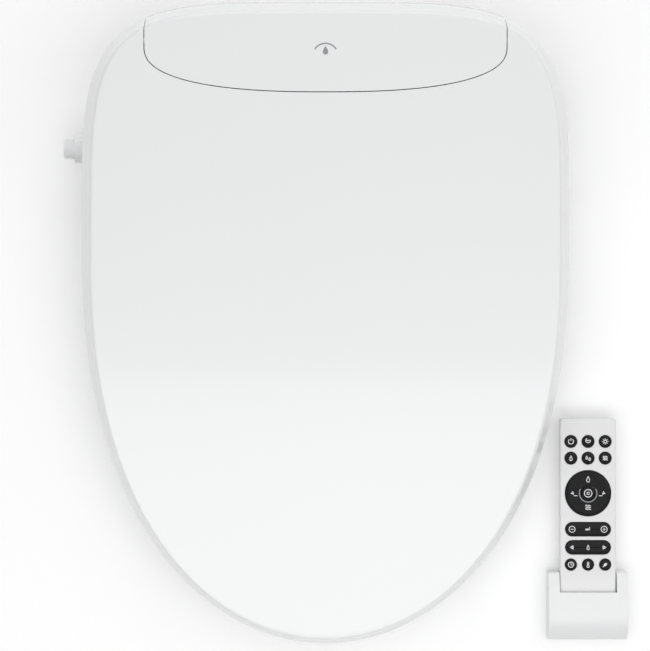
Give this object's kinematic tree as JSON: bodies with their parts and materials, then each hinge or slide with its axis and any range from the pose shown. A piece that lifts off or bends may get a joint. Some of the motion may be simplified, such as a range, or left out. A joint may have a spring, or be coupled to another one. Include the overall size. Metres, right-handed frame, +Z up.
{
  "type": "electric bidet seat",
  "caption": "Electric bidet seat with hinged lid and heated seat ring, washing nozzle, warm-air dryer, quick-release plate and a wireless remote in its dock.",
  "frame": {"origin": "centre of the mounting plate's underside, midway between the two bolt slots, on the plane that everything stands on", "axes": "+X right, +Y towards the wall behind the seat, +Z up"},
  "size_m": [0.463, 0.518, 0.1041],
  "materials": {
    "lid_white": "gloss",
    "seat_white": "semi-gloss",
    "housing_white": "satin",
    "inner_plastic": "matte",
    "dark_plastic": "matte",
    "soft_rubber": "matte",
    "key_black": "satin",
    "steel": "satin",
    "lens_smoke": "gloss",
    "board_green": "matte",
    "foil": "satin",
    "remote_white": "satin"
  },
  "bodies": {
    "bracket": {"mount_plate": "inner_plastic", "dock_shell": "housing_white", "dock_screw_left": "steel", "dock_screw_right": "steel"},
    "insert_left": {"bolt_insert_left": "steel"},
    "insert_right": {"bolt_insert_right": "steel"},
    "housing": {"housing_base": "housing_white", "front_shroud": "housing_white", "ir_window": "lens_smoke", "top_cover": "housing_white", "hinge_damper_left": "steel", "hinge_damper_right": "steel", "water_inlet": "housing_white", "inlet_strainer": "steel", "cord_gland": "dark_plastic", "nozzle_guide": "inner_plastic", "nozzle_motor": "steel", "dryer_duct": "inner_plastic", "blower_housing": "dark_plastic", "water_heater": "inner_plastic", "solenoid_valve": "steel", "water_pump": "dark_plastic", "control_board": "board_green", "power_supply": "steel"},
    "seat": {"seat_upper": "seat_white", "seat_lower": "seat_white", "seat_heater": "foil", "seat_bumper_rear_left": "soft_rubber", "seat_bumper_rear_right": "soft_rubber", "seat_bumper_front_left": "soft_rubber", "seat_bumper_front_right": "soft_rubber"},
    "lid": {"lid_shell": "lid_white", "lid_bumper_left": "soft_rubber", "lid_bumper_right": "soft_rubber"},
    "nozzle": {"nozzle_tube": "housing_white", "nozzle_tip": "inner_plastic"},
    "drive_wheel": {"nozzle_drive_wheel": "soft_rubber"},
    "impeller": {"blower_impeller": "inner_plastic"},
    "flap": {"dryer_flap": "housing_white"},
    "filter": {"deodorizer_filter": "dark_plastic"},
    "button": {"release_button": "inner_plastic"},
    "remote": {"remote_back": "remote_white", "remote_front": "remote_white", "coin_cell": "steel"},
    "battery_door": {"battery_cover": "remote_white"},
    "pad_pivot": {"nav_pivot": "inner_plastic"},
    "pad": {"nav_pad": "key_black"},
    "stop_key": {"key_stop": "key_black"},
    "rocker_minus_plus": {"bar_minus_plus": "key_black"},
    "rocker_arrows": {"bar_arrows": "key_black"},
    "key_top_left": {"key_top_left": "key_black"},
    "key_top_middle": {"key_top_middle": "key_black"},
    "key_top_right": {"key_top_right": "key_black"},
    "key_upper_left": {"key_upper_left": "key_black"},
    "key_upper_middle": {"key_upper_middle": "key_black"},
    "key_upper_right": {"key_upper_right": "key_black"},
    "key_bottom_left": {"key_bottom_left": "key_black"},
    "key_bottom_middle": {"key_bottom_middle": "key_black"},
    "key_bottom_right": {"key_bottom_right": "key_black"}
  },
  "joints": [
    {"name": "housing_slide", "type": "slide", "parent": "bracket", "child": "housing", "axis": [0, -1, 0], "range_m": [0, 0.03]},
    {"name": "insert_left_slide", "type": "slide", "parent": "bracket", "child": "insert_left", "axis": [0, 1, 0], "range_m": [-0.0095, 0.0095]},
    {"name": "insert_right_slide", "type": "slide", "parent": "bracket", "child": "insert_right", "axis": [0, 1, 0], "range_m": [-0.0095, 0.0095]},
    {"name": "seat_hinge", "type": "hinge", "parent": "housing", "child": "seat", "pos_m": [0, 0.015, 0.093], "axis": [1, 0, 0], "range_deg": [-95, 0]},
    {"name": "lid_hinge", "type": "hinge", "parent": "seat", "child": "lid", "pos_m": [0, 0.015, 0.093], "axis": [-1, 0, 0], "range_deg": [0, 105]},
    {"name": "nozzle_slide", "type": "slide", "parent": "housing", "child": "nozzle", "axis": [0, -0.9848, -0.1736], "range_m": [0, 0.09]},
    {"name": "drive_wheel_turn", "type": "hinge", "parent": "housing", "child": "drive_wheel", "pos_m": [0.01535, -0.04184, 0.03655], "axis": [0, -0.1736, 0.9848], "range_deg": [0, 650]},
    {"name": "impeller_spin", "type": "hinge", "parent": "housing", "child": "impeller", "pos_m": [-0.046, -0.01, 0.026], "axis": [0, 0, 1], "continuous": true},
    {"name": "dryer_flap_swing", "type": "hinge", "parent": "housing", "child": "flap", "pos_m": [-0.034, -0.0951, 0.0362], "axis": [-1, 0, 0], "range_deg": [0, 45]},
    {"name": "filter_pull", "type": "slide", "parent": "housing", "child": "filter", "axis": [1, 0, 0], "range_m": [0, 0.05]},
    {"name": "release_press", "type": "slide", "parent": "housing", "child": "button", "axis": [-1, 0, 0], "range_m": [0, 0.004], "stiffness_N_per_m": 400},
    {"name": "remote_lift", "type": "slide", "parent": "bracket", "child": "remote", "axis": [0, 1, 0], "range_m": [0, 0.06]},
    {"name": "battery_door_turn", "type": "hinge", "parent": "remote", "child": "battery_door", "pos_m": [0.216, -0.393, 0.0096], "axis": [0, 0, -1], "range_deg": [0, 30]},
    {"name": "pad_tilt_front_rear", "type": "hinge", "parent": "remote", "child": "pad_pivot", "pos_m": [0.216, -0.3487, 0.0166], "axis": [1, 0, 0], "range_deg": [-2.5, 2.5], "stiffness_Nm_per_rad": 0.3},
    {"name": "pad_tilt_left_right", "type": "hinge", "parent": "pad_pivot", "child": "pad", "pos_m": [0.216, -0.3487, 0.0166], "axis": [0, 1, 0], "range_deg": [-2.5, 2.5], "stiffness_Nm_per_rad": 0.3},
    {"name": "stop_press", "type": "slide", "parent": "remote", "child": "stop_key", "axis": [0, 0, -1], "range_m": [0, 0.0006], "stiffness_N_per_m": 300},
    {"name": "minus_plus_rock", "type": "hinge", "parent": "remote", "child": "rocker_minus_plus", "pos_m": [0.216, -0.3783, 0.018], "axis": [0, 1, 0], "range_deg": [-2.2, 2.2], "stiffness_Nm_per_rad": 0.3},
    {"name": "arrows_rock", "type": "hinge", "parent": "remote", "child": "rocker_arrows", "pos_m": [0.216, -0.3932, 0.018], "axis": [0, 1, 0], "range_deg": [-2.2, 2.2], "stiffness_Nm_per_rad": 0.3},
    {"name": "press_top_left", "type": "slide", "parent": "remote", "child": "key_top_left", "axis": [0, 0, -1], "range_m": [0, 0.0006], "stiffness_N_per_m": 300},
    {"name": "press_top_middle", "type": "slide", "parent": "remote", "child": "key_top_middle", "axis": [0, 0, -1], "range_m": [0, 0.0006], "stiffness_N_per_m": 300},
    {"name": "press_top_right", "type": "slide", "parent": "remote", "child": "key_top_right", "axis": [0, 0, -1], "range_m": [0, 0.0006], "stiffness_N_per_m": 300},
    {"name": "press_upper_left", "type": "slide", "parent": "remote", "child": "key_upper_left", "axis": [0, 0, -1], "range_m": [0, 0.0006], "stiffness_N_per_m": 300},
    {"name": "press_upper_middle", "type": "slide", "parent": "remote", "child": "key_upper_middle", "axis": [0, 0, -1], "range_m": [0, 0.0006], "stiffness_N_per_m": 300},
    {"name": "press_upper_right", "type": "slide", "parent": "remote", "child": "key_upper_right", "axis": [0, 0, -1], "range_m": [0, 0.0006], "stiffness_N_per_m": 300},
    {"name": "press_bottom_left", "type": "slide", "parent": "remote", "child": "key_bottom_left", "axis": [0, 0, -1], "range_m": [0, 0.0006], "stiffness_N_per_m": 300},
    {"name": "press_bottom_middle", "type": "slide", "parent": "remote", "child": "key_bottom_middle", "axis": [0, 0, -1], "range_m": [0, 0.0006], "stiffness_N_per_m": 300},
    {"name": "press_bottom_right", "type": "slide", "parent": "remote", "child": "key_bottom_right", "axis": [0, 0, -1], "range_m": [0, 0.0006], "stiffness_N_per_m": 300}
  ],
  "couplings": [
    {"joint": "drive_wheel_turn", "follows": "nozzle_slide", "rad_per_m": 125}
  ]
}
